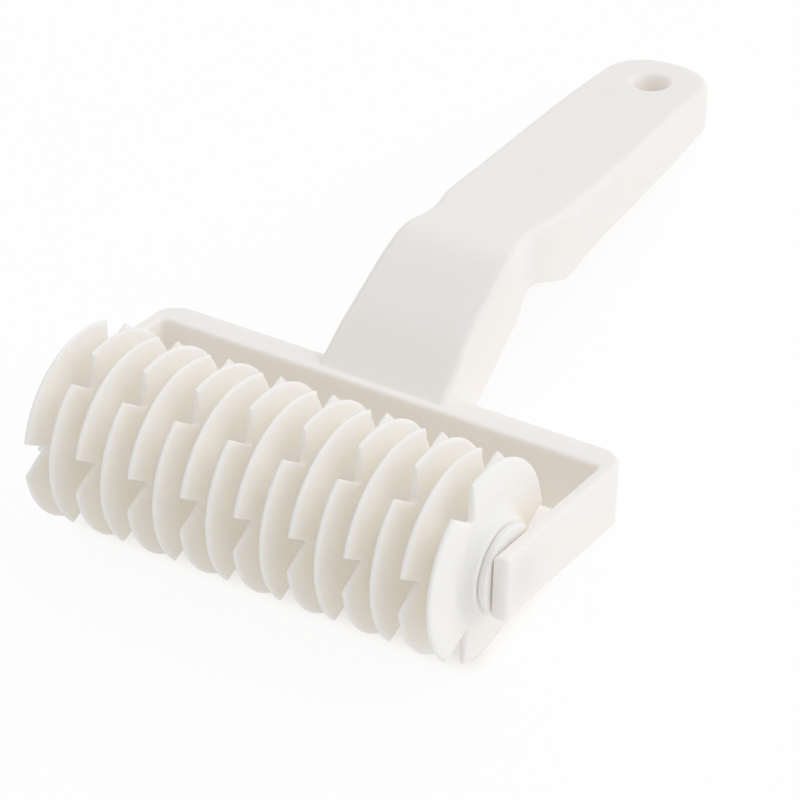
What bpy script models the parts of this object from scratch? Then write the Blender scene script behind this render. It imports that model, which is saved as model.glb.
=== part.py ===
# Lattice roller cutter: a row of notched cutting discs that turns between the two arms of a handle.
# The tool lies as it does on a table, resting on the discs and on the end of its handle.
# X runs along the roller, Y runs from the roller to the handle's end, Z is up.
import math

import bmesh
import bpy
from mathutils import Matrix, Vector

# Sizes of the roller, in metres
disc_count = 16
disc_radius = 0.0220
disc_pitch = 0.00664
rim_thickness = 0.0011
rim_chamfer = 0.0003
web_taper = 0.00035
hub_radius = 0.0104
hub_end_radius = 0.0100
hub_past_rim = 0.0033
notches_per_disc = 3
notch_half_width = 0.0041
notch_floor_radius = 0.0147
notch_floor_half_width = 0.0003
notch_from_table_deg = 12.7
facets = 36

# Sizes of the axle and its collars
axle_across_flats = 0.0080
axle_fit = 0.0003
journal_radius = 0.0034
journal_length = 0.0022
collar_radius_right = 0.00958
collar_radius_left = 0.0084
collar_width = 0.0018
right_gap = 0.0003
left_gap = 0.00085

# Sizes of the frame
arm_thickness = 0.0032
arm_rise = 0.0071
arm_drop = 0.0073
arm_past_axis = 0.0073
rail_from_axis = 0.0352
rail_thickness = 0.0073
frame_corner_radius = 0.0060
frame_edge_round = 0.0010
socket_depth = 0.0022

# Sizes of the handle
handle_length = 0.1254
handle_half_width = 0.0144
handle_height = 0.0350
handle_edge_round = 0.0018
handle_under_round = 0.0006
handle_wall = 0.0025
rib_thickness = 0.0020
rib_count = 7
ribs_start = 0.0070
hole_from_end = 0.0135
hole_radius = 0.0040
hole_rim_round = 0.0012
hole_well_radius = 0.0090

# Outline of the handle from the rail to its end.
# Each row has the way along the handle, the half width, the top and the underside, as shares of the
# handle's length, half width, height and height.
handle_shares = [
    (-0.041, 1.146, 0.197, -0.197),
    (-0.007, 1.104, 0.311, -0.189),
    (0.024, 1.092, 0.424, -0.150),
    (0.056, 1.058, 0.518, -0.096),
    (0.092, 1.044, 0.609, -0.010),
    (0.140, 1.037, 0.724, 0.121),
    (0.175, 1.016, 0.801, 0.210),
    (0.199, 1.009, 0.841, 0.279),
    (0.223, 0.988, 0.849, 0.327),
    (0.253, 0.912, 0.852, 0.347),
    (0.266, 0.887, 0.858, 0.447),
    (0.287, 0.877, 0.867, 0.473),
    (0.311, 0.912, 0.872, 0.473),
    (0.335, 0.967, 0.875, 0.450),
    (0.367, 0.992, 0.878, 0.410),
    (0.399, 1.002, 0.881, 0.379),
    (0.427, 1.002, 0.884, 0.399),
    (0.467, 1.002, 0.889, 0.441),
    (0.522, 1.002, 0.904, 0.490),
    (0.602, 0.992, 0.927, 0.527),
    (0.714, 0.971, 0.957, 0.581),
    (0.825, 0.940, 0.987, 0.630),
    (0.905, 0.912, 0.997, 0.667),
    (0.938, 0.866, 0.995, 0.678),
    (0.962, 0.755, 0.994, 0.686),
    (0.981, 0.582, 0.991, 0.692),
    (0.993, 0.371, 0.983, 0.696),
    (1.000, 0.147, 0.958, 0.744),
]

# Clear the scene
for old in list(bpy.data.objects):
    bpy.data.objects.remove(old, do_unlink=True)

part_group = bpy.data.collections.new("lattice_roller_cutter")
cutter_group = bpy.data.collections.new("cutters")
bpy.context.scene.collection.children.link(part_group)
bpy.context.scene.collection.children.link(cutter_group)

tool_pose = bpy.data.objects.new("tool_pose", None)
roller_pose = bpy.data.objects.new("roller_pose", None)
roller_pose.parent = tool_pose
part_group.objects.link(tool_pose)
part_group.objects.link(roller_pose)


def plastic(name, colour, roughness):
    material = bpy.data.materials.new(name)
    material.use_nodes = True
    shader = material.node_tree.nodes["Principled BSDF"]
    shader.inputs["Base Color"].default_value = (*colour, 1)
    shader.inputs["Roughness"].default_value = roughness
    shader.inputs["Metallic"].default_value = 0
    return material


def add_part(name, mesh, parent, material):
    part = bpy.data.objects.new(name, mesh)
    part.parent = parent
    mesh.materials.clear()
    mesh.materials.append(material)
    part_group.objects.link(part)
    return part


def add_cutter(name, mesh, parent):
    cutter = bpy.data.objects.new(name, mesh)
    cutter.parent = parent
    cutter.hide_render = True
    cutter.display_type = "WIRE"
    cutter_group.objects.link(cutter)
    return cutter


def combine(target, tool, operation):
    step = target.modifiers.new(operation.lower() + " " + tool.name, "BOOLEAN")
    step.operation = operation
    step.solver = "EXACT"
    step.object = tool


def mesh_from(shape, name):
    bmesh.ops.recalc_face_normals(shape, faces=shape.faces)
    mesh = bpy.data.meshes.new(name)
    shape.to_mesh(mesh)
    shape.free()
    return mesh


# A straight bar along X between two ends, with any number of sides
def bar_mesh(name, sides, corner_radius, left, right):
    shape = bmesh.new()
    bmesh.ops.create_cone(shape, cap_ends=True, segments=sides, radius1=corner_radius,
                          radius2=corner_radius, depth=right - left)
    bmesh.ops.rotate(shape, matrix=Matrix.Rotation(math.pi / 2, 3, "Y"), verts=shape.verts)
    bmesh.ops.translate(shape, vec=Vector(((left + right) / 2, 0, 0)), verts=shape.verts)
    return mesh_from(shape, name)


# A body through a row of sections, each a list of points in order
def loft_into(shape, sections):
    rings = [[shape.verts.new(point) for point in section] for section in sections]
    for before, after in zip(rings, rings[1:]):
        count = len(before)
        for i in range(count):
            k = (i + 1) % count
            shape.faces.new((before[i], before[k], after[k], after[i]))
    shape.faces.new(rings[0][::-1])
    shape.faces.new(rings[-1])


# The row of discs lies between the arms, with its two gaps beside the collars
stack_width = disc_count * disc_pitch + 2 * collar_width
inner_half_width = (stack_width + left_gap + right_gap) / 2
outer_half_width = inner_half_width + arm_thickness
stack_right = inner_half_width - right_gap
stack_left = stack_right - stack_width
hubs_left = stack_left + collar_width
hubs_right = stack_right - collar_width

# Handle and frame: the rail and the two arms are one U, cut from flat stock with rounded corners
rail_outer = rail_from_axis + rail_thickness
corner_steps = 5
outline = [(inner_half_width, -arm_past_axis), (outer_half_width, -arm_past_axis)]
for side in (1, -1):
    for i in range(corner_steps + 1):
        share = i / corner_steps if side == 1 else 1 - i / corner_steps
        angle = share * math.pi / 2
        outline.append((side * (outer_half_width - frame_corner_radius
                                + frame_corner_radius * math.cos(angle)),
                        rail_outer - frame_corner_radius + frame_corner_radius * math.sin(angle)))
outline.append((-outer_half_width, -arm_past_axis))
outline.append((-inner_half_width, -arm_past_axis))
outline.append((-inner_half_width, rail_from_axis))
outline.append((inner_half_width, rail_from_axis))

frame_curve = bpy.data.curves.new("frame outline", "CURVE")
frame_curve.dimensions = "2D"
frame_curve.fill_mode = "BOTH"
frame_curve.extrude = (arm_rise + arm_drop) / 2
frame_line = frame_curve.splines.new("POLY")
frame_line.points.add(len(outline) - 1)
for point, (x, y) in zip(frame_line.points, outline):
    point.co = (x, y, 0, 1)
frame_line.use_cyclic_u = True
frame_curve_object = bpy.data.objects.new("frame outline", frame_curve)
cutter_group.objects.link(frame_curve_object)
frame_shape = bmesh.new()
frame_shape.from_mesh(bpy.data.meshes.new_from_object(frame_curve_object))
tiny = frame_edge_round / 50
bmesh.ops.remove_doubles(frame_shape, verts=frame_shape.verts, dist=tiny)
bmesh.ops.dissolve_limit(frame_shape, angle_limit=math.radians(1), verts=frame_shape.verts,
                         edges=frame_shape.edges)
bmesh.ops.translate(frame_shape, vec=Vector((0, 0, (arm_rise - arm_drop) / 2)), verts=frame_shape.verts)

# The upper edges and the corners of the arms' ends are rounded, the lower edges are sharp
frame_top = max(vertex.co.z for vertex in frame_shape.verts)
frame_front = min(vertex.co.y for vertex in frame_shape.verts)
weights = frame_shape.edges.layers.float.new("bevel_weight_edge")
for edge in frame_shape.edges:
    upper = all(vertex.co.z > frame_top - tiny for vertex in edge.verts)
    at_end = all(vertex.co.y < frame_front + tiny for vertex in edge.verts)
    upright = abs(edge.verts[0].co.z - edge.verts[1].co.z) > tiny
    edge[weights] = 1 if upper or (at_end and upright) else 0
frame_mesh = mesh_from(frame_shape, "handle_frame")
bpy.data.objects.remove(frame_curve_object, do_unlink=True)

frame_plastic = plastic("white frame plastic", (0.83, 0.82, 0.80), 0.42)
handle_frame = add_part("handle_frame", frame_mesh, tool_pose, frame_plastic)
rounding = handle_frame.modifiers.new("rounded edges", "BEVEL")
rounding.width = frame_edge_round
rounding.segments = 2
rounding.limit_method = "WEIGHT"


# Half width, top and underside of the handle at one place along it
def handle_at(along):
    rows = handle_shares
    share = along / handle_length
    for before, after in zip(rows, rows[1:]):
        if share <= after[0]:
            break
    part = (share - before[0]) / (after[0] - before[0])
    mixed = [a + (b - a) * part for a, b in zip(before, after)]
    return mixed[1] * handle_half_width, mixed[2] * handle_height, mixed[3] * handle_height


# One upright section of the handle, a rectangle with rounded corners
def handle_section(along):
    half_width, top, under = handle_at(along)
    limit = min(half_width, top - under) * 0.45
    points = []
    for side_x, side_z, start in ((1, 1, 0), (-1, 1, 90), (-1, -1, 180), (1, -1, 270)):
        radius = min(handle_edge_round if side_z == 1 else handle_under_round, limit)
        centre_z = top - radius if side_z == 1 else under + radius
        for step_deg in (0, 45, 90):
            angle = math.radians(start + step_deg)
            points.append((side_x * (half_width - radius) + radius * math.cos(angle),
                           rail_outer + along,
                           centre_z + radius * math.sin(angle)))
    return points


handle_shape = bmesh.new()
loft_into(handle_shape, [handle_section(row[0] * handle_length) for row in handle_shares])
handle_body = add_cutter("handle body", mesh_from(handle_shape, "handle body"), tool_pose)
combine(handle_frame, handle_body, "UNION")

# The handle is hollow from below: pockets in two rows, with a spine and cross ribs between them, and a
# round well under the hanging hole.
hole_y = rail_outer + handle_length - hole_from_end
hole_top, hole_under = handle_at(handle_length - hole_from_end)[1:]
pocket_shape = bmesh.new()
ribs_end = handle_length - hole_from_end - hole_well_radius - rib_thickness
cell_length = (ribs_end - ribs_start - rib_count * rib_thickness) / (rib_count + 1)
roof_wall = handle_wall * 1.15
for i in range(rib_count + 1):
    first = ribs_start + i * (cell_length + rib_thickness)
    last = first + cell_length
    inside = [row[0] * handle_length for row in handle_shares]
    margin = cell_length / 10
    stations = [first] + [y for y in inside if first + margin < y < last - margin] + [last]
    for side in (1, -1):
        sections = []
        for along in stations:
            half_width, top, under = handle_at(along)
            wall_x = side * (half_width - handle_wall)
            spine_x = side * rib_thickness / 2
            roof = top - roof_wall
            floor = under - handle_height / 2
            y = rail_outer + along
            sections.append([(spine_x, y, roof), (wall_x, y, roof), (wall_x, y, floor), (spine_x, y, floor)])
        loft_into(pocket_shape, sections)
pockets = add_cutter("handle pockets", mesh_from(pocket_shape, "handle pockets"), tool_pose)
combine(handle_frame, pockets, "DIFFERENCE")

# Hanging hole through the end of the grip, wider at its mouth, with the well under it
well_roof = hole_top - roof_wall
hole_profile = bmesh.new()
hole_points = [
    (0, 0, hole_top + handle_height / 4),
    (hole_radius + hole_rim_round, 0, hole_top + handle_height / 4),
    (hole_radius + hole_rim_round, 0, hole_top),
    (hole_radius, 0, hole_top - hole_rim_round),
    (hole_radius, 0, well_roof),
    (hole_well_radius, 0, well_roof),
    (hole_well_radius, 0, hole_under - handle_height / 4),
    (0, 0, hole_under - handle_height / 4),
]
hole_line = [hole_profile.verts.new(point) for point in hole_points]
for a, b in zip(hole_line, hole_line[1:]):
    hole_profile.edges.new((a, b))
hole_mesh = bpy.data.meshes.new("hanging hole")
hole_profile.to_mesh(hole_mesh)
hole_profile.free()
hanging_hole = add_cutter("hanging hole", hole_mesh, tool_pose)
hanging_hole.location = (0, hole_y, 0)
turning = hanging_hole.modifiers.new("turned", "SCREW")
turning.axis = "Z"
turning.steps = 24
turning.render_steps = 24
turning.use_merge_vertices = True
turning.merge_threshold = tiny / 2
combine(handle_frame, hanging_hole, "DIFFERENCE")

# Blind sockets for the axle's journals, one in each arm
socket_radius = journal_radius + axle_fit
for side, name in ((1, "right socket"), (-1, "left socket")):
    socket_mouth = side * (inner_half_width - arm_thickness)
    socket_floor = side * (inner_half_width + socket_depth)
    socket_mesh = bar_mesh(name, 24, socket_radius, min(socket_mouth, socket_floor),
                           max(socket_mouth, socket_floor))
    combine(handle_frame, add_cutter(name, socket_mesh, tool_pose), "DIFFERENCE")

# Axle: a hexagonal rod through the discs, turned down to a round journal at each end
axle_plastic = plastic("white axle plastic", (0.80, 0.79, 0.76), 0.45)
flat_to_corner = 1 / math.cos(math.pi / 6)
rod_mesh = bar_mesh("axle", 6, axle_across_flats / 2 * flat_to_corner, stack_left, stack_right)
axle = add_part("axle", rod_mesh, roller_pose, axle_plastic)
journal_mesh = bar_mesh("journals", 24, journal_radius, stack_left - journal_length,
                        stack_right + journal_length)
combine(axle, add_cutter("journals", journal_mesh, roller_pose), "UNION")

# Hexagonal bore through the discs and the collars, a sliding fit on the axle
bore_radius = (axle_across_flats / 2 + axle_fit) * flat_to_corner
bore_mesh = bar_mesh("hexagonal bore", 6, bore_radius, stack_left - collar_width,
                     stack_right + collar_width)
hexagonal_bore = add_cutter("hexagonal bore", bore_mesh, roller_pose)

# Collars: plain rings that keep the end discs clear of the arms
collar_plastic = plastic("white collar plastic", (0.82, 0.81, 0.78), 0.42)
for name, radius, left, right in (
    ("end_collar_left", collar_radius_left, stack_left, hubs_left),
    ("end_collar_right", collar_radius_right, hubs_right, stack_right),
):
    collar = add_part(name, bar_mesh(name, facets, radius, left, right), roller_pose, collar_plastic)
    combine(collar, hexagonal_bore, "DIFFERENCE")

# Cutting disc: a thin wheel with a wide hub, turned about its axis.
# Its outline runs from the hub's right end over the rim to the hub's left end.
rim_right = disc_pitch - hub_past_rim
rim_left = rim_right - rim_thickness
web_right = rim_right + web_taper
web_left = rim_left - web_taper
web_foot_radius = hub_radius + (disc_radius - hub_radius) * 0.26
disc_outline = [
    (0, disc_pitch),
    (hub_end_radius, disc_pitch),
    (hub_radius, disc_pitch - (hub_radius - hub_end_radius)),
    (hub_radius + (web_foot_radius - hub_radius) * 0.30, web_right + (disc_pitch - web_right) * 0.30),
    (web_foot_radius, web_right),
    (disc_radius - rim_chamfer, rim_right),
    (disc_radius, rim_right - rim_chamfer),
    (disc_radius, rim_left + rim_chamfer),
    (disc_radius - rim_chamfer, rim_left),
    (web_foot_radius, web_left),
    (hub_radius, web_left / 2),
    (hub_end_radius, 0),
    (0, 0),
]
disc_profile = bmesh.new()
disc_line = [disc_profile.verts.new((radius, 0, height)) for radius, height in disc_outline]
for a, b in zip(disc_line, disc_line[1:]):
    disc_profile.edges.new((a, b))
pattern_mesh = bpy.data.meshes.new("disc pattern")
disc_profile.to_mesh(pattern_mesh)
disc_profile.free()
pattern = add_cutter("disc pattern", pattern_mesh, None)
wheel = pattern.modifiers.new("turned", "SCREW")
wheel.axis = "Z"
wheel.steps = facets
wheel.render_steps = facets
wheel.use_merge_vertices = True
wheel.merge_threshold = tiny / 2

# Each notch is a V with a narrow flat floor, cut across the rim
notch_shape = bmesh.new()
notch_slope = (notch_half_width - notch_floor_half_width) / (disc_radius - notch_floor_radius)
mouth_radius = disc_radius * 1.1
mouth_half_width = notch_floor_half_width + (mouth_radius - notch_floor_radius) * notch_slope
for i in range(notches_per_disc):
    turn = Matrix.Rotation(math.radians(notch_from_table_deg) + i * 2 * math.pi / notches_per_disc, 3, "Z")
    sections = []
    for height in (-disc_pitch, 2 * disc_pitch):
        corners = [(notch_floor_radius, -notch_floor_half_width), (mouth_radius, -mouth_half_width),
                   (mouth_radius, mouth_half_width), (notch_floor_radius, notch_floor_half_width)]
        sections.append([turn @ Vector((x, y, height)) for x, y in corners])
    loft_into(notch_shape, sections)
disc_notches = add_cutter("disc notches", mesh_from(notch_shape, "disc notches"), None)
combine(pattern, disc_notches, "DIFFERENCE")

# The pattern's own bore, along its own axis
pattern_bore_shape = bmesh.new()
bmesh.ops.create_cone(pattern_bore_shape, cap_ends=True, segments=6, radius1=bore_radius,
                      radius2=bore_radius, depth=4 * disc_pitch)
pattern_bore = add_cutter("disc bore", mesh_from(pattern_bore_shape, "disc bore"), None)
combine(pattern, pattern_bore, "DIFFERENCE")

# The discs stand hub to hub along the axle, each turned by one flat of the hexagon
bpy.context.view_layer.update()
view = bpy.context.evaluated_depsgraph_get()
disc_mesh = bpy.data.meshes.new_from_object(pattern.evaluated_get(view))
disc_mesh.name = "cutting disc"
for spent in (pattern, disc_notches, pattern_bore):
    bpy.data.objects.remove(spent, do_unlink=True)
disc_plastic = plastic("white disc plastic", (0.84, 0.82, 0.78), 0.40)
one_flat = math.pi / 3
for i in range(disc_count):
    disc = add_part("cutter_disc_%02d" % (i + 1), disc_mesh, roller_pose, disc_plastic)
    disc.location = (hubs_left + i * disc_pitch, 0, 0)
    disc.rotation_mode = "QUATERNION"
    onto_axis = Matrix.Rotation(math.pi / 2, 3, "Y")
    disc.rotation_quaternion = (Matrix.Rotation(-one_flat * (i % 2), 3, "X") @ onto_axis).to_quaternion()

# Tilt: the handle sinks until the first point of its underside is as low as the discs
tilt = math.pi
for row in handle_shares:
    reach = rail_outer + row[0] * handle_length
    rise = row[3] * handle_height
    if reach > rail_outer:
        tilt = min(tilt, math.atan2(rise, reach) + math.asin(disc_radius / math.hypot(reach, rise)))
tool_pose.rotation_euler = (-tilt, 0, 0)
roller_pose.rotation_euler = (tilt, 0, 0)

# Stand the tool on its base, centred
bpy.context.view_layer.update()
view = bpy.context.evaluated_depsgraph_get()
corners = []
for part in part_group.objects:
    if part.type == "MESH":
        shown = part.evaluated_get(view)
        corners += [shown.matrix_world @ vertex.co for vertex in shown.data.vertices]
middle_y = (max(c.y for c in corners) + min(c.y for c in corners)) / 2
lowest = min(c.z for c in corners)
tool_pose.location = (0, -middle_y, -lowest)
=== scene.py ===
# The looks of a lattice roller cutter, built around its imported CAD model.
import math

import bmesh
import bpy
from mathutils import Euler, Matrix, Vector


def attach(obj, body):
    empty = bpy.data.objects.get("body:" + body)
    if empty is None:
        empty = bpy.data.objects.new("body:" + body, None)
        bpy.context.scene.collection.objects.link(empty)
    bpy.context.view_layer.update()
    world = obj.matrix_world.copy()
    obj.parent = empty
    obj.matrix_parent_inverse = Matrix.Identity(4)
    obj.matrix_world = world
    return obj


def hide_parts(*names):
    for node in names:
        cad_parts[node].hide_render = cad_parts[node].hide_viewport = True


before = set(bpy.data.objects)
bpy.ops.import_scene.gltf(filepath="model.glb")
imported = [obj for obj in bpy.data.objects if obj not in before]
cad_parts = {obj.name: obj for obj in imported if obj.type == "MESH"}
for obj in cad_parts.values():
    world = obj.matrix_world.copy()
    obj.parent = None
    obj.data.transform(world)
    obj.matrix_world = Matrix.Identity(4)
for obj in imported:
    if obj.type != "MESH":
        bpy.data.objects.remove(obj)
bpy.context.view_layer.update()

# Handle and frame
# One white plastic moulding: a rail behind the roller with two flat arms, a neck that rises from the
# rail, and a grip with a waist for the fingers. It is hollow from below, and a hole hangs the tool up.
mm = 0.001
roller_radius = 22.0 * mm
roller_place = Vector((0, -74.344 * mm, roller_radius))
lie_deg = 15.787
tool_lie = Matrix.Translation(roller_place) @ Matrix.Rotation(math.radians(-lie_deg), 4, "X")

frame_half_width = 58.695 * mm
arm_thick = 3.2 * mm
arm_top = 7.1 * mm
arm_bottom = -7.3 * mm
arm_front = -7.3 * mm
rail_front = 35.2 * mm
rail_back = 42.5 * mm
outer_corner = 6.0 * mm
inner_corner = 1.2 * mm
frame_round = 2.0 * mm

grip_length = 125.4 * mm
nose_length = 13.0 * mm
nose_half_width = 13.13 * mm
nose_fullness = 2.25
top_round = 1.8 * mm
under_round = 0.5 * mm
wall = 2.5 * mm
roof_wall = wall * 1.15
rib = 2.0 * mm
first_pocket = 7.0 * mm
pocket_rows = 8
pocket_corner = 1.0 * mm
hole_from_nose = 13.5 * mm
hole_radius = 3.5 * mm
funnel_wide = 2.0 * mm
funnel_deep = 4.5 * mm
boss_radius = 5.5 * mm
well_radius = 9.0 * mm
foot_round = 0.5 * mm
socket_radius = 3.7 * mm
socket_depth = 2.2 * mm
overrun = 5.0 * mm
pocket_overrun = 10.0 * mm
socket_overrun = 3.0 * mm
merge_reach = 0.001 * mm

# Way along the handle from the rail, half width, top and underside, all in millimetres
handle_rows = (
    (-5.1, 16.5, 6.9, -6.9),
    (-0.9, 15.9, 10.9, -6.6),
    (3.0, 15.7, 14.8, -5.3),
    (7.0, 15.2, 18.1, -3.4),
    (11.5, 15.0, 21.3, -0.4),
    (17.6, 14.9, 25.3, 4.2),
    (21.9, 14.6, 28.0, 7.4),
    (25.0, 14.5, 29.4, 9.8),
    (28.0, 14.2, 29.7, 11.4),
    (31.7, 13.1, 29.8, 12.1),
    (33.4, 12.8, 30.0, 15.6),
    (36.0, 12.6, 30.3, 16.6),
    (39.0, 13.1, 30.5, 16.6),
    (42.0, 13.9, 30.6, 15.8),
    (46.0, 14.3, 30.7, 14.4),
    (50.0, 14.4, 30.8, 13.3),
    (53.5, 14.4, 30.9, 14.0),
    (58.6, 14.4, 31.1, 15.4),
    (65.5, 14.4, 31.6, 17.2),
    (75.5, 14.3, 32.4, 18.4),
    (89.5, 14.0, 33.5, 20.3),
    (103.5, 13.5, 34.5, 22.0),
    (112.4, 13.13, 34.85, 23.3),
    (117.6, 12.5, 34.82, 23.7),
    (120.6, 10.9, 34.79, 24.0),
    (123.0, 8.4, 34.7, 24.24),
    (125.4, 2.1, 34.6, 24.55),
)
width_column, top_column, under_column = 1, 2, 3


def evened(values, rounds):
    for _ in range(rounds):
        middle = [(a + 2 * b + c) / 4 for a, b, c in zip(values, values[1:], values[2:])]
        values = [values[0]] + middle + [values[-1]]
    return values


def read_row(rows, along, column):
    for before, after in zip(rows, rows[1:]):
        if along <= after[0]:
            break
    share = (along - before[0]) / (after[0] - before[0])
    return before[column] + (after[column] - before[column]) * share


# The rows are read every 0.6 mm and evened out, the top most, so that the grip has no kinks
line_step = 0.6
width_rounds, top_rounds, under_rounds = 7, 22, 7
line_count = int((handle_rows[-1][0] - handle_rows[0][0]) / line_step) + 1
line_places = [handle_rows[0][0] + i * line_step for i in range(line_count)]
line_widths = evened([read_row(handle_rows, y, width_column) for y in line_places], width_rounds)
line_tops = evened([read_row(handle_rows, y, top_column) for y in line_places], top_rounds)
line_unders = evened([read_row(handle_rows, y, under_column) for y in line_places], under_rounds)
handle_line = list(zip(line_places, line_widths, line_tops, line_unders))


def handle_read(along, column):
    return read_row(handle_line, along / mm, column) * mm


def tidy_mesh(shape, name):
    bmesh.ops.recalc_face_normals(shape, faces=shape.faces)
    mesh = bpy.data.meshes.new(name)
    shape.to_mesh(mesh)
    shape.free()
    return mesh


def placed(data):
    shown = bpy.data.objects.new(data.name, data)
    bpy.context.scene.collection.objects.link(shown)
    return shown


def combine(target, tools, operation):
    for tool in tools:
        step = target.modifiers.new(tool.name, "BOOLEAN")
        step.operation = operation
        step.solver = "EXACT"
        step.object = tool


def settle(shown, name):
    bpy.context.view_layer.update()
    view = bpy.context.evaluated_depsgraph_get()
    mesh = bpy.data.meshes.new_from_object(shown.evaluated_get(view))
    mesh.name = name
    return mesh


def shade_with_edges(mesh, angle_deg):
    mesh.shade_smooth()
    mesh.set_sharp_from_angle(angle=math.radians(angle_deg))


def arc_points(centre_x, centre_y, radius, start_deg, end_deg, steps):
    points = []
    for i in range(steps + 1):
        angle = math.radians(start_deg + (end_deg - start_deg) * i / steps)
        points.append((centre_x + radius * math.cos(angle), centre_y + radius * math.sin(angle)))
    return points


# The rail and arms, seen from above as a U
inner_half_width = frame_half_width - arm_thick
right_side = [(inner_half_width, arm_front), (frame_half_width, arm_front)]
right_side += arc_points(frame_half_width - outer_corner, rail_back - outer_corner, outer_corner,
                         0, 90, 12)
inner_side = arc_points(inner_half_width - inner_corner, rail_front - inner_corner, inner_corner,
                        90, 0, 5)
u_outline = right_side + [(-x, y) for x, y in right_side[::-1]]
u_outline += [(-x, y) for x, y in inner_side[::-1]] + inner_side
u_shape = bmesh.new()
u_bottom = u_shape.faces.new([u_shape.verts.new((x, y, arm_bottom)) for x, y in u_outline])
lifted = bmesh.ops.extrude_face_region(u_shape, geom=[u_bottom])
u_top = [part for part in lifted["geom"] if isinstance(part, bmesh.types.BMVert)]
bmesh.ops.translate(u_shape, vec=(0, 0, arm_top - arm_bottom), verts=u_top)
near = 0.01 * mm
lower_share, upper_share, front_outer_share, front_inner_share = 0.12, 0.5, 0.9, 0.2
soft_edges = u_shape.edges.layers.float.new("bevel_weight_edge")
for edge in u_shape.edges:
    ends = [vertex.co for vertex in edge.verts]
    upper = all(end.z > arm_top - near for end in ends)
    lower = all(end.z < arm_bottom + near for end in ends)
    at_front = all(end.y < arm_front + near for end in ends)
    outer = all(abs(end.x) > frame_half_width - near for end in ends)
    if lower:
        edge[soft_edges] = lower_share
    elif upper:
        edge[soft_edges] = upper_share
    elif at_front:
        edge[soft_edges] = front_outer_share if outer else front_inner_share
u_frame = placed(tidy_mesh(u_shape, "rail and arms"))
u_rounding = u_frame.modifiers.new("rounded edges", "BEVEL")
u_rounding.width = frame_round
u_rounding.segments = 5
u_rounding.limit_method = "WEIGHT"

# The neck and grip, one closed skin: its outline from above, stepped in and up round the edges
nose_start = grip_length - nose_length
plan_line = []
side_steps, nose_steps = 150, 40
line_start = handle_rows[0][0] * mm
for i in range(side_steps):
    along = line_start + (nose_start - line_start) * i / side_steps
    plan_line.append(Vector((handle_read(along, width_column), rail_back + along)))
for i in range(nose_steps + 1):
    turn = math.pi / 2 * (1 - i / nose_steps)
    reach = nose_length * math.cos(turn) ** (2 / nose_fullness)
    half = nose_half_width * math.sin(turn) ** (2 / nose_fullness) if i < nose_steps else 0
    plan_line.append(Vector((half, rail_back + nose_start + reach)))
plan_normals = []
for i, point in enumerate(plan_line):
    before = plan_line[i - 1] if i else point
    after = plan_line[i + 1] if i + 1 < len(plan_line) else Vector((-before.x, before.y))
    run = (after - before).normalized()
    plan_normals.append(Vector((run.y, -run.x)))


def handle_height_at(y, column):
    along = min(max(y - rail_back, line_start), grip_length)
    return handle_read(along, column)


grip_shape = bmesh.new()
skin = []
for column, radius, middle, steps, start in (
    (under_column, under_round, under_round, 3, 270),
    (top_column, top_round, -top_round, 7, 0),
):
    for k in range(steps + 1):
        angle = math.radians(start + 90 * k / steps)
        inset = radius * (1 - math.cos(angle))
        ring = []
        for point, normal in zip(plan_line, plan_normals):
            moved = point - normal * inset
            level = handle_height_at(moved.y, column) + middle + radius * math.sin(angle)
            ring.append(Vector((max(moved.x, 0), moved.y, level)))
        skin.append(ring)
skin_rows = []
for ring in skin:
    right = [grip_shape.verts.new(point) for point in ring]
    left = [grip_shape.verts.new((-point.x, point.y, point.z)) for point in ring[:-1]]
    skin_rows.append((right, left + [right[-1]]))
for (right_a, left_a), (right_b, left_b) in zip(skin_rows, skin_rows[1:]):
    for i in range(len(right_a) - 1):
        grip_shape.faces.new((right_a[i], right_a[i + 1], right_b[i + 1], right_b[i]))
        grip_shape.faces.new((left_a[i + 1], left_a[i], left_b[i], left_b[i + 1]))
cap_columns = 6
for right, left in (skin_rows[0], skin_rows[-1]):
    lanes = [right]
    for c in range(1, cap_columns):
        lane = []
        for a, b in zip(right[:-1], left[:-1]):
            lane.append(grip_shape.verts.new(a.co.lerp(b.co, c / cap_columns)))
        lanes.append(lane + [right[-1]])
    lanes.append(left)
    for lane_a, lane_b in zip(lanes, lanes[1:]):
        for i in range(len(lane_a) - 1):
            corners = [lane_a[i], lane_a[i + 1], lane_b[i + 1], lane_b[i]]
            if corners[1] is corners[2]:
                corners.pop(1)
            grip_shape.faces.new(corners)
open_edges = [edge for edge in grip_shape.edges if len(edge.link_faces) == 1]
bmesh.ops.contextual_create(grip_shape, geom=open_edges)
grip_body = placed(tidy_mesh(grip_shape, "neck and grip"))

# Pockets from below, two beside each other in eight rows, with rounded corners, up to the well under
# the hanging hole
pocket_shape = bmesh.new()
pockets_end = grip_length - hole_from_nose - well_radius - rib
cell = (pockets_end - first_pocket - (pocket_rows - 1) * rib) / pocket_rows
for row in range(pocket_rows):
    first = rail_back + first_pocket + row * (cell + rib)
    last = first + cell
    for side in (1, -1):
        plan = []
        for x_at, y_at, start in (("wall", first, 270), ("wall", last, 0),
                                  ("spine", last, 90), ("spine", first, 180)):
            y_mid = y_at + (pocket_corner if y_at == first else -pocket_corner)
            if x_at == "wall":
                x_mid = handle_read(y_mid - rail_back, width_column) - wall - pocket_corner
            else:
                x_mid = rib / 2 + pocket_corner
            plan += arc_points(x_mid, y_mid, pocket_corner, start, start + 90, 4)
        roof, foot = [], []
        for x, y in plan:
            roof_level = handle_height_at(y, top_column) - roof_wall
            foot_level = handle_height_at(y, under_column) - pocket_overrun
            roof.append(pocket_shape.verts.new((side * x, y, roof_level)))
            foot.append(pocket_shape.verts.new((side * x, y, foot_level)))
        for i in range(len(plan)):
            k = (i + 1) % len(plan)
            pocket_shape.faces.new((foot[i], foot[k], roof[k], roof[i]))
        pocket_shape.faces.new(roof)
        pocket_shape.faces.new(foot[::-1])
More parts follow.
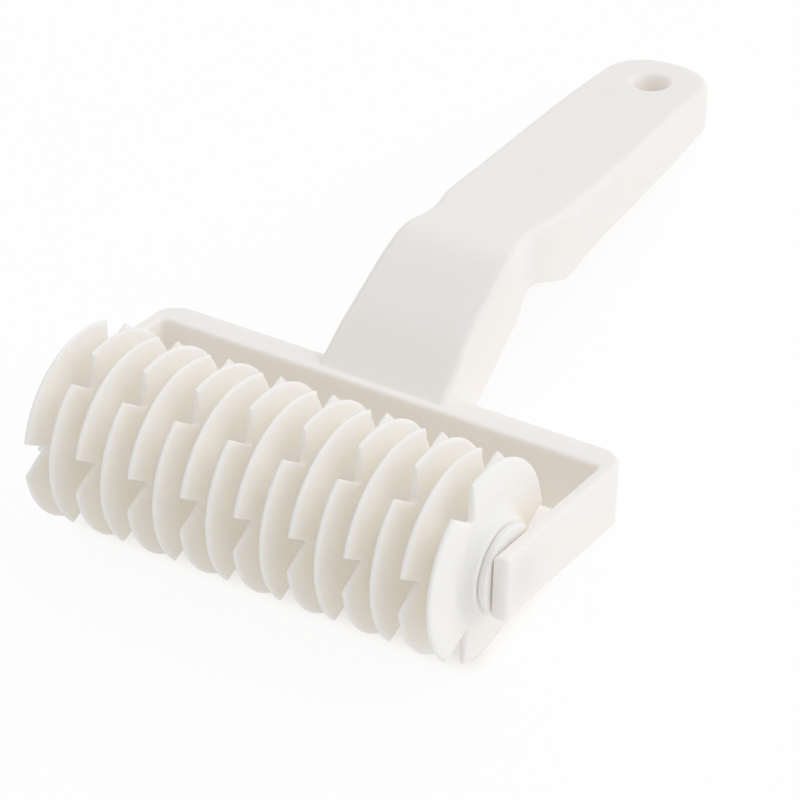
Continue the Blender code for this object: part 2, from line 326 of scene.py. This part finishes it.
pocket_cutter = placed(tidy_mesh(pocket_shape, "pockets"))


# A body turned about Z, from a line of radii and heights
def turned(shape, outline, steps):
    rings = []
    for radius, height in outline:
        if radius == 0:
            rings.append([shape.verts.new((0, 0, height))])
            continue
        ring = []
        for i in range(steps):
            angle = 2 * math.pi * i / steps
            ring.append(shape.verts.new((radius * math.cos(angle), radius * math.sin(angle), height)))
        rings.append(ring)
    for lower, upper in zip(rings, rings[1:]):
        for i in range(steps):
            k = (i + 1) % steps
            if len(lower) == 1:
                shape.faces.new((lower[0], upper[k], upper[i]))
            elif len(upper) == 1:
                shape.faces.new((lower[i], lower[k], upper[0]))
            else:
                shape.faces.new((lower[i], lower[k], upper[k], upper[i]))


# The hanging hole opens upwards like a soft funnel. Its tube stands as a boss in a round well, which is
# open below. Both follow the slopes of the grip.
hole_y = rail_back + grip_length - hole_from_nose
mouth_top = handle_height_at(hole_y, top_column)
mouth_under = handle_height_at(hole_y, under_column)
slope_run = 4 * mm


def handle_slope_at(y, column):
    rise = handle_height_at(y + slope_run, column) - handle_height_at(y - slope_run, column)
    return rise / (2 * slope_run)


slope_top = handle_slope_at(hole_y, top_column)
slope_under = handle_slope_at(hole_y, under_column)


def rounded_foot(radius, way):
    line = []
    for i in range(4):
        angle = math.pi / 2 * i / 3
        line.append((radius + way * foot_round * (1 - math.sin(angle)),
                     mouth_under + foot_round * (1 - math.cos(angle))))
    return line


hole_line = [(0, mouth_under - overrun), (hole_radius + foot_round, mouth_under - overrun)]
hole_line += rounded_foot(hole_radius, 1)
for i in range(12):
    angle = math.pi / 2 * i / 11
    hole_line.append((hole_radius + funnel_wide * (1 - math.cos(angle)),
                      mouth_top - funnel_deep * (1 - math.sin(angle))))
hole_line += [(hole_radius + funnel_wide, mouth_top + overrun), (0, mouth_top + overrun)]
well_line = [(boss_radius - foot_round, mouth_under - overrun)] + rounded_foot(boss_radius, -1)
well_line += [(boss_radius, mouth_top - roof_wall), (well_radius, mouth_top - roof_wall)]
well_line += rounded_foot(well_radius, 1)[::-1] + [(well_radius + foot_round, mouth_under - overrun)]
hole_middle = (mouth_top + mouth_under) / 2
hole_facets = 72
hole_cutters = []
for name, line in (("hanging hole", hole_line), ("well", well_line + well_line[:1])):
    shape = bmesh.new()
    turned(shape, line, hole_facets)
    bmesh.ops.remove_doubles(shape, verts=shape.verts, dist=merge_reach)
    for vertex in shape.verts:
        vertex.co.z += vertex.co.y * (slope_top if vertex.co.z > hole_middle else slope_under)
    bmesh.ops.translate(shape, vec=(0, hole_y, 0), verts=shape.verts)
    hole_cutters.append(placed(tidy_mesh(shape, name)))

# Blind sockets for the axle in both arms
socket_facets = 48
socket_line = [(0, -socket_overrun), (socket_radius, -socket_overrun),
               (socket_radius, socket_depth), (0, socket_depth)]
socket_shape = bmesh.new()
for side in (1, -1):
    before = list(socket_shape.verts)
    turned(socket_shape, socket_line, socket_facets)
    fresh = [vertex for vertex in socket_shape.verts if vertex not in before]
    outwards = Matrix.Rotation(side * math.pi / 2, 4, "Y")
    onto_arm = Matrix.Translation((side * inner_half_width, 0, 0)) @ outwards
    bmesh.ops.transform(socket_shape, matrix=onto_arm, verts=fresh)
socket_cutter = placed(tidy_mesh(socket_shape, "axle sockets"))

combine(u_frame, [grip_body], "UNION")
combine(u_frame, [pocket_cutter, *hole_cutters, socket_cutter], "DIFFERENCE")
moulding_mesh = settle(u_frame, "handle_and_frame")
moulding_mesh.transform(tool_lie)
for spent in (u_frame, grip_body, pocket_cutter, *hole_cutters, socket_cutter):
    bpy.data.objects.remove(spent, do_unlink=True)
handle_and_frame = placed(moulding_mesh)
shade_with_edges(moulding_mesh, 32)
evener = handle_and_frame.modifiers.new("even shading", "WEIGHTED_NORMAL")
evener.keep_sharp = True
evener.weight = 80


# Moulded surface: the fine grain of the mould's steel and the slow waves of the cooling plastic
def new_effect(name, inputs, outputs):
    group = bpy.data.node_groups.new(name, "ShaderNodeTree")
    for label, kind, value in inputs:
        socket = group.interface.new_socket(label, in_out="INPUT", socket_type=kind)
        if value is not None:
            socket.default_value = value
    for label, kind in outputs:
        group.interface.new_socket(label, in_out="OUTPUT", socket_type=kind)
    return group, group.nodes.new("NodeGroupInput"), group.nodes.new("NodeGroupOutput")


def feed(tree, socket, value):
    if isinstance(value, (int, float)):
        socket.default_value = value
    else:
        tree.links.new(value, socket)


def noise(tree, place, scale, detail, roughness):
    node = tree.nodes.new("ShaderNodeTexNoise")
    node.inputs["Detail"].default_value = detail
    node.inputs["Roughness"].default_value = roughness
    tree.links.new(place, node.inputs["Vector"])
    feed(tree, node.inputs["Scale"], scale)
    return node.outputs["Fac"]


def sums(tree, operation, *values):
    node = tree.nodes.new("ShaderNodeMath")
    node.operation = operation
    for socket, value in zip(node.inputs, values):
        feed(tree, socket, value)
    return node.outputs[0]


moulded, moulded_in, moulded_out = new_effect(
    "Moulded surface",
    [("Place", "NodeSocketVector", None), ("Grain", "NodeSocketFloat", 1.0),
     ("Waves", "NodeSocketFloat", 1.0), ("Gloss", "NodeSocketFloat", 0.42),
     ("Gloss change", "NodeSocketFloat", 0.05)],
    [("Height", "NodeSocketFloat"), ("Roughness", "NodeSocketFloat")],
)
grain = noise(moulded, moulded_in.outputs["Place"], scale=2600, detail=2, roughness=0.6)
waves = noise(moulded, moulded_in.outputs["Place"], scale=55, detail=2, roughness=0.4)
smudges = noise(moulded, moulded_in.outputs["Place"], scale=130, detail=4, roughness=0.55)
grain_part = sums(moulded, "MULTIPLY", grain, moulded_in.outputs["Grain"])
wave_part = sums(moulded, "MULTIPLY", waves, moulded_in.outputs["Waves"])
moulded.links.new(sums(moulded, "ADD", grain_part, wave_part), moulded_out.inputs["Height"])
both_ways = sums(moulded, "SUBTRACT", smudges, 0.5)
smudge_part = sums(moulded, "MULTIPLY", both_ways, moulded_in.outputs["Gloss change"])
moulded.links.new(sums(moulded, "ADD", smudge_part, moulded_in.outputs["Gloss"]),
                  moulded_out.inputs["Roughness"])

# Milky colour: the pigment lies a little unevenly, in soft clouds with very fine specks
milky, milky_in, milky_out = new_effect(
    "Milky colour",
    [("Place", "NodeSocketVector", None), ("Colour", "NodeSocketColor", (0.8, 0.8, 0.8, 1)),
     ("Cloud colour", "NodeSocketColor", (0.78, 0.78, 0.76, 1)), ("Cloud size", "NodeSocketFloat", 60.0),
     ("Clouds", "NodeSocketFloat", 0.5), ("Specks", "NodeSocketFloat", 0.1)],
    [("Colour", "NodeSocketColor")],
)
cloud_size = milky_in.outputs["Cloud size"]
clouds = noise(milky, milky_in.outputs["Place"], scale=cloud_size, detail=3, roughness=0.5)
specks = noise(milky, milky_in.outputs["Place"], scale=1500, detail=1, roughness=0.5)
rare_specks = sums(milky, "GREATER_THAN", specks, 0.72)
cloud_share = sums(milky, "MULTIPLY", clouds, milky_in.outputs["Clouds"])
speck_share = sums(milky, "MULTIPLY", rare_specks, milky_in.outputs["Specks"])
cloud_mix = milky.nodes.new("ShaderNodeMix")
cloud_mix.data_type = "RGBA"
milky.links.new(sums(milky, "ADD", cloud_share, speck_share), cloud_mix.inputs["Factor"])
milky.links.new(milky_in.outputs["Colour"], cloud_mix.inputs["A"])
milky.links.new(milky_in.outputs["Cloud colour"], cloud_mix.inputs["B"])
milky.links.new(cloud_mix.outputs["Result"], milky_out.inputs["Colour"])


def place_effect(tree, effect, links, values):
    node = tree.nodes.new("ShaderNodeGroup")
    node.node_tree = effect
    for label, source in links.items():
        tree.links.new(source, node.inputs[label])
    for label, value in values.items():
        node.inputs[label].default_value = value
    return node


bump_depth = 0.02 * mm


def white_plastic(name, colour, cloud_colour, gloss, glow, glow_reach):
    material = bpy.data.materials.new(name)
    material.use_nodes = True
    tree = material.node_tree
    shader = tree.nodes["Principled BSDF"]
    place = tree.nodes.new("ShaderNodeTexCoord").outputs["Object"]
    surface = place_effect(tree, moulded, {"Place": place},
                           {"Grain": 0.35, "Waves": 1.0, "Gloss": gloss})
    tint = place_effect(tree, milky, {"Place": place},
                        {"Colour": (*colour, 1), "Cloud colour": (*cloud_colour, 1), "Clouds": 0.5})
    bump = tree.nodes.new("ShaderNodeBump")
    bump.inputs["Strength"].default_value = 1.0
    bump.inputs["Distance"].default_value = bump_depth
    tree.links.new(surface.outputs["Height"], bump.inputs["Height"])
    tree.links.new(bump.outputs["Normal"], shader.inputs["Normal"])
    tree.links.new(surface.outputs["Roughness"], shader.inputs["Roughness"])
    tree.links.new(tint.outputs["Colour"], shader.inputs["Base Color"])
    shader.inputs["IOR"].default_value = 1.49
    shader.inputs["Subsurface Weight"].default_value = glow
    shader.inputs["Subsurface Radius"].default_value = (1.0, 0.9, 0.75)
    shader.inputs["Subsurface Scale"].default_value = glow_reach
    return material


frame_white = white_plastic("satin white frame plastic", (0.966, 0.923, 0.880), (0.960, 0.915, 0.868),
                            gloss=0.45, glow=0.35, glow_reach=2.5 * mm)
handle_and_frame.data.materials.clear()
handle_and_frame.data.materials.append(frame_white)
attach(handle_and_frame, "handle")
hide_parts("handle_frame")

# Axle
# A hexagonal plastic rod through all the discs, with a round journal at each end that turns in the
# arm's blind socket. It is moulded in the same white plastic, and the discs hide it.
axle_white = white_plastic("satin white axle plastic", (0.960, 0.927, 0.880), (0.950, 0.915, 0.865),
                           gloss=0.48, glow=0.35, glow_reach=3.0 * mm)
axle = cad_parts["axle"]
axle.data.materials.clear()
axle.data.materials.append(axle_white)

# Cutting discs
# Sixteen thin wheels of ivory white plastic stand hub to hub on the axle. Each has three V notches in
# its rim, and each is turned one flat of the hexagon from its neighbour, so the cuts form a lattice.
disc_count = 16
disc_pitch = 6.64 * mm
first_hub = -52.845 * mm
notch_turn_deg = 12.7
first_disc_play_deg = 2
notch_floor = 14.7 * mm
notch_floor_half = 0.3 * mm
notch_mouth_half = 4.1 * mm
notch_round = 0.40 * mm
bore_flat = 4.3 * mm
hub_face = 9.4 * mm
hub = 10.8 * mm
hub_round = 0.8 * mm
hub_curve = 2.3
web_foot = 14.0 * mm
web_middle = 2.79 * mm
web_half_foot = 0.90 * mm
web_half_rim = 0.55 * mm
rim_round = 0.90 * mm
notch_slope = (notch_mouth_half - notch_floor_half) / (roller_radius - notch_floor)


def notch_half_at(radius):
    return notch_floor_half + max(radius - notch_floor, 0) * notch_slope


def rounded_share(distance, reach):
    if distance >= reach:
        return 1.0
    return math.sqrt(max(0.0, 1 - (1 - distance / reach) ** 2))


# The web's radii from its foot to the rim, closer together beside the notch floor and the rim
edge_shares = (0.0, 0.08, 0.25, 0.55, 1.0)
web_radii = [web_foot + (notch_floor - notch_round - web_foot) * i / 2 for i in range(2)]
web_radii += [notch_floor - notch_round * share for share in edge_shares[::-1]]
floor_row = len(web_radii) - 1
plain_start, plain_end = notch_floor + 0.25 * mm, roller_radius - rim_round
web_radii += [plain_start + (plain_end - plain_start) * i / 8 for i in range(9)]
web_radii += [roller_radius - rim_round * share for share in edge_shares[-2::-1]]

# Columns round the disc: the notch's middle, then from its wall to the next notch's wall
lobe_columns = 22
columns = []
for k in range(3):
    columns.append((k, "middle", 0))
    for share in edge_shares:
        columns.append((k, "after", share * notch_round))
    for i in range(1, lobe_columns):
        columns.append((k, "between", i / lobe_columns))
    for share in edge_shares[::-1]:
        columns.append((k, "before", share * notch_round))


def column_angle(column, radius):
    k, kind, amount = column
    start = math.radians(notch_turn_deg + 120 * k)
    lobe = math.radians(120)
    clear = math.asin((notch_half_at(radius) + notch_round) / radius)
    if kind == "middle":
        return start
    if kind == "after":
        return start + math.asin((notch_half_at(radius) + amount) / radius)
    if kind == "before":
        return start + lobe - math.asin((notch_half_at(radius) + amount) / radius)
    return start + clear + (lobe - 2 * clear) * amount


def web_half_at(column, radius):
    share = (radius - web_foot) / (roller_radius - web_foot)
    half = web_half_foot + (web_half_rim - web_half_foot) * max(share, 0)
    rounding = rounded_share(roller_radius - radius, rim_round)
    kind, amount = column[1:]
    if radius >= notch_floor - merge_reach and kind in ("after", "before"):
        rounding = min(rounding, rounded_share(amount, notch_round))
    elif radius > notch_floor - notch_round and kind in ("after", "before", "middle"):
        below = notch_floor - radius
        away = amount if kind != "middle" else 0
        rounding = min(rounding, rounded_share(math.hypot(below, away), notch_round))
    return half * rounding


def hub_line(face_x, way):
    edge_x = face_x - way * hub_round
    foot_x = web_middle + way * web_half_foot
    line = [(bore_flat, face_x), (hub_face, face_x)]
    for i in range(5):
        angle = math.pi / 2 * i / 4
        line.append((hub - hub_round * (1 - math.sin(angle)),
                     face_x - way * hub_round * (1 - math.cos(angle))))
    for i in range(1, 7):
        share = i / 7
        line.append((hub + (web_foot - hub) * share,
                     foot_x + (edge_x - foot_x) * (1 - share) ** hub_curve))
    return line


def bore_reach(angle):
    around = (angle - math.radians(30)) % (math.pi / 3) - math.pi / 6
    return bore_flat / math.cos(around)


def disc_mesh(name):
    shape = bmesh.new()

    def ring_point(column, radius, x, at_bore):
        angle = column_angle(column, max(radius, web_foot))
        if at_bore:
            radius = bore_reach(angle)
        return shape.verts.new((x, radius * math.sin(angle), -radius * math.cos(angle)))

    sides = []
    for line, way in ((hub_line(disc_pitch, 1), 1), (hub_line(0.0, -1), -1)):
        rows = []
        for i, (radius, x) in enumerate(line):
            rows.append([ring_point(column, radius, x, i == 0) for column in columns])
        for j, radius in enumerate(web_radii):
            row = []
            for column in columns:
                if column[1] == "middle" and j > floor_row:
                    row.append(None)
                    continue
                x = web_middle + way * web_half_at(column, radius)
                row.append(ring_point(column, radius, x, False))
            rows.append(row)
        sides.append((rows, len(line)))
    count = len(columns)
    for rows, hub_count in sides:
        for j in range(len(rows) - 1):
            for i in range(count):
                k = (i + 1) % count
                if j >= hub_count + floor_row and "middle" in (columns[i][1], columns[k][1]):
                    continue
                shape.faces.new((rows[j][i], rows[j][k], rows[j + 1][k], rows[j + 1][i]))
    right_bore, left_bore = sides[0][0][0], sides[1][0][0]
    for i in range(count):
        k = (i + 1) % count
        shape.faces.new((right_bore[i], right_bore[k], left_bore[k], left_bore[i]))
    bmesh.ops.remove_doubles(shape, verts=shape.verts, dist=2 * merge_reach)
    return tidy_mesh(shape, name)


disc_white = white_plastic("ivory disc plastic", (0.975, 0.940, 0.885), (0.970, 0.932, 0.873),
                           gloss=0.45, glow=0.7, glow_reach=1.8 * mm)
pattern = disc_mesh("cutting disc")
for i in range(disc_count):
    node = "cutter_disc_%02d" % (i + 1)
    mesh = pattern.copy()
    mesh.name = "notched_disc_%02d" % (i + 1)
    play_deg = first_disc_play_deg if i == 0 else 0
    turn = Matrix.Rotation(math.radians(-60 * (i % 2) + play_deg), 4, "X")
    mesh.transform(Matrix.Translation(roller_place + Vector((first_hub + i * disc_pitch, 0, 0))) @ turn)
    mesh.materials.append(disc_white)
    shade_with_edges(mesh, 50)
    disc = placed(mesh)
    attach(disc, "roller")
    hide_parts(node)
bpy.data.meshes.remove(pattern)

# End collars
# A plain turned ring of white plastic at each end of the row of discs keeps the last disc clear of
# the arm. It slides on the same hexagonal rod.
collar_white = white_plastic("satin white collar plastic", (0.985, 0.940, 0.876), (0.980, 0.932, 0.864),
                             gloss=0.45, glow=0.8, glow_reach=2.0 * mm)
left_collar_radius = 8.4 * mm
right_collar_radius = 9.58 * mm
collar_width = 1.8 * mm
collar_round = 0.5 * mm
arm_side_round = 0.2 * mm
collar_facets = 96
last_hub = first_hub + disc_count * disc_pitch
for name, node, radius, hub_side, way in (
    ("left_collar", "end_collar_left", left_collar_radius, first_hub, -1),
    ("right_collar", "end_collar_right", right_collar_radius, last_hub, 1),
):
    shape = bmesh.new()
    line = [(bore_flat, 0.0), (radius - collar_round, 0.0)]
    for i in range(1, 5):
        angle = math.pi / 2 * i / 4
        line.append((radius - collar_round * (1 - math.sin(angle)),
                     collar_round * (1 - math.cos(angle))))
    for i in range(5):
        angle = math.pi / 2 * i / 4
        line.append((radius - arm_side_round * (1 - math.cos(angle)),
                     collar_width - arm_side_round * (1 - math.sin(angle))))
    line += [(bore_flat, collar_width)]
    rings = []
    for ring_radius, x in line:
        ring = []
        for i in range(collar_facets):
            angle = 2 * math.pi * i / collar_facets
            reach = bore_reach(angle) if ring_radius == bore_flat else ring_radius
            ring.append(shape.verts.new((way * x, reach * math.sin(angle), -reach * math.cos(angle))))
        rings.append(ring)
    for ring_a, ring_b in zip(rings, rings[1:] + rings[:1]):
        for i in range(collar_facets):
            k = (i + 1) % collar_facets
            shape.faces.new((ring_a[i], ring_a[k], ring_b[k], ring_b[i]))
    mesh = tidy_mesh(shape, name)
    mesh.transform(Matrix.Translation(roller_place + Vector((hub_side, 0, 0))))
    mesh.materials.append(collar_white)
    shade_with_edges(mesh, 50)
    collar = placed(mesh)
    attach(collar, "roller")
    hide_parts(node)

# Table
# A plain pale light table, which glows a little. The camera sees it almost white, with the tool's
# soft shadow on it, and in its own shade right under the roller and the frame.
table_half = 4.0
table_corners = [(x * table_half, y * table_half, 0) for x, y in ((-1, -1), (1, -1), (1, 1), (-1, 1))]
table_mesh = bpy.data.meshes.new("pale_table")
table_mesh.from_pydata(table_corners, [], [(0, 1, 2, 3)])
table = placed(table_mesh)
table_paint = bpy.data.materials.new("pale table")
table_paint.use_nodes = True
tree = table_paint.node_tree
table_shader = tree.nodes["Principled BSDF"]
table_shader.inputs["Base Color"].default_value = (0.88, 0.875, 0.865, 1)
table_shader.inputs["Roughness"].default_value = 0.9
table_shader.inputs["Specular IOR Level"].default_value = 0.0
table_shader.inputs["Emission Color"].default_value = (1.0, 1.0, 1.0, 1)
table_shader.inputs["Emission Strength"].default_value = 0.17
paper_white = tree.nodes.new("ShaderNodeEmission")
paper_white.inputs["Color"].default_value = (1, 1, 1, 1)
seen = tree.nodes.new("ShaderNodeLightPath")
table_place = tree.nodes.new("ShaderNodeSeparateXYZ")
tree.links.new(tree.nodes.new("ShaderNodeTexCoord").outputs["Object"], table_place.inputs["Vector"])


def fade(value, none_at, full_at):
    node = tree.nodes.new("ShaderNodeMapRange")
    node.interpolation_type = "SMOOTHSTEP"
    node.inputs["From Min"].default_value = none_at
    node.inputs["From Max"].default_value = full_at
    tree.links.new(value, node.inputs["Value"])
    return node.outputs["Result"]


def mixed(tree, share, plain, shown, end):
    mix = tree.nodes.new("ShaderNodeMixShader")
    tree.links.new(share, mix.inputs["Fac"])
    tree.links.new(plain, mix.inputs[1])
    tree.links.new(shown, mix.inputs[2])
    tree.links.new(mix.outputs["Shader"], tree.nodes[end].inputs["Surface"])


# The table's own shade shows only between the arms, from the front of the roller to the rail
beside = fade(sums(tree, "ABSOLUTE", table_place.outputs["X"]), none_at=54 * mm, full_at=48 * mm)
in_front = fade(table_place.outputs["Y"], none_at=-88 * mm, full_at=-80 * mm)
behind = fade(table_place.outputs["Y"], none_at=-22 * mm, full_at=-32 * mm)
under_tool = sums(tree, "MULTIPLY", beside, sums(tree, "MULTIPLY", in_front, behind))
open_white, lost_white = 0.88, 0.70
whiteness = sums(tree, "SUBTRACT", open_white, sums(tree, "MULTIPLY", under_tool, lost_white))
white_share = sums(tree, "MULTIPLY", seen.outputs["Is Camera Ray"], whiteness)
mixed(tree, white_share, table_shader.outputs["BSDF"], paper_white.outputs["Emission"],
      "Material Output")
table_mesh.materials.append(table_paint)

# Studio light
# A bright white room with three wide soft lamps: from the right, from high behind and, much weaker,
# from the left. The light goes on through many bounces, because the white discs light each other.
studio = bpy.context.scene
studio.view_settings.view_transform = "Standard"
studio.cycles.diffuse_bounces = 10
world = bpy.data.worlds.new("white studio")
studio.world = world
world.use_nodes = True
sky = world.node_tree
room = sky.nodes["Background"]
room.inputs["Color"].default_value = (0.99, 1.0, 1.02, 1)
room.inputs["Strength"].default_value = 0.58
backdrop = sky.nodes.new("ShaderNodeBackground")
backdrop.inputs["Color"].default_value = (1, 1, 1, 1)
backdrop.inputs["Strength"].default_value = 1.0
sky_seen = sky.nodes.new("ShaderNodeLightPath")
either = sums(sky, "MAXIMUM", sky_seen.outputs["Is Camera Ray"], sky_seen.outputs["Is Transmission Ray"])
mixed(sky, either, room.outputs["Background"], backdrop.outputs["Background"], "World Output")


def soft_lamp(name, azimuth_deg, height_deg, strength, spread_deg):
    lamp = bpy.data.lights.new(name, "SUN")
    lamp.energy = strength
    lamp.angle = math.radians(spread_deg)
    lamp.color = (1.0, 1.0, 1.03)
    azimuth, height = math.radians(azimuth_deg), math.radians(height_deg)
    level = math.cos(height)
    towards = Vector((level * math.cos(azimuth), level * math.sin(azimuth), math.sin(height)))
    placed(lamp).rotation_euler = towards.to_track_quat("Z", "Y").to_euler()


soft_lamp("right_softbox", azimuth_deg=30, height_deg=36, strength=0.74, spread_deg=50)
soft_lamp("back_softbox", azimuth_deg=100, height_deg=62, strength=0.46, spread_deg=80)
soft_lamp("left_softbox", azimuth_deg=200, height_deg=40, strength=0.05, spread_deg=70)

# Camera
# It stands to the right of the roller and above it, as for the photograph.
camera = bpy.data.cameras.new("camera")
camera_stand = placed(camera)
camera_stand.location = (0.34081, -0.46240, 0.52044)
camera_stand.rotation_euler = Euler([math.radians(value) for value in (46.6854, 6.9253, 31.7623)])
camera.lens = 155.387
camera.sensor_width = 36
half_pixel = 0.5 / 800
camera.shift_x = -half_pixel
camera.shift_y = half_pixel
camera.clip_start = 0.01
camera.clip_end = 50
studio.camera = camera_stand
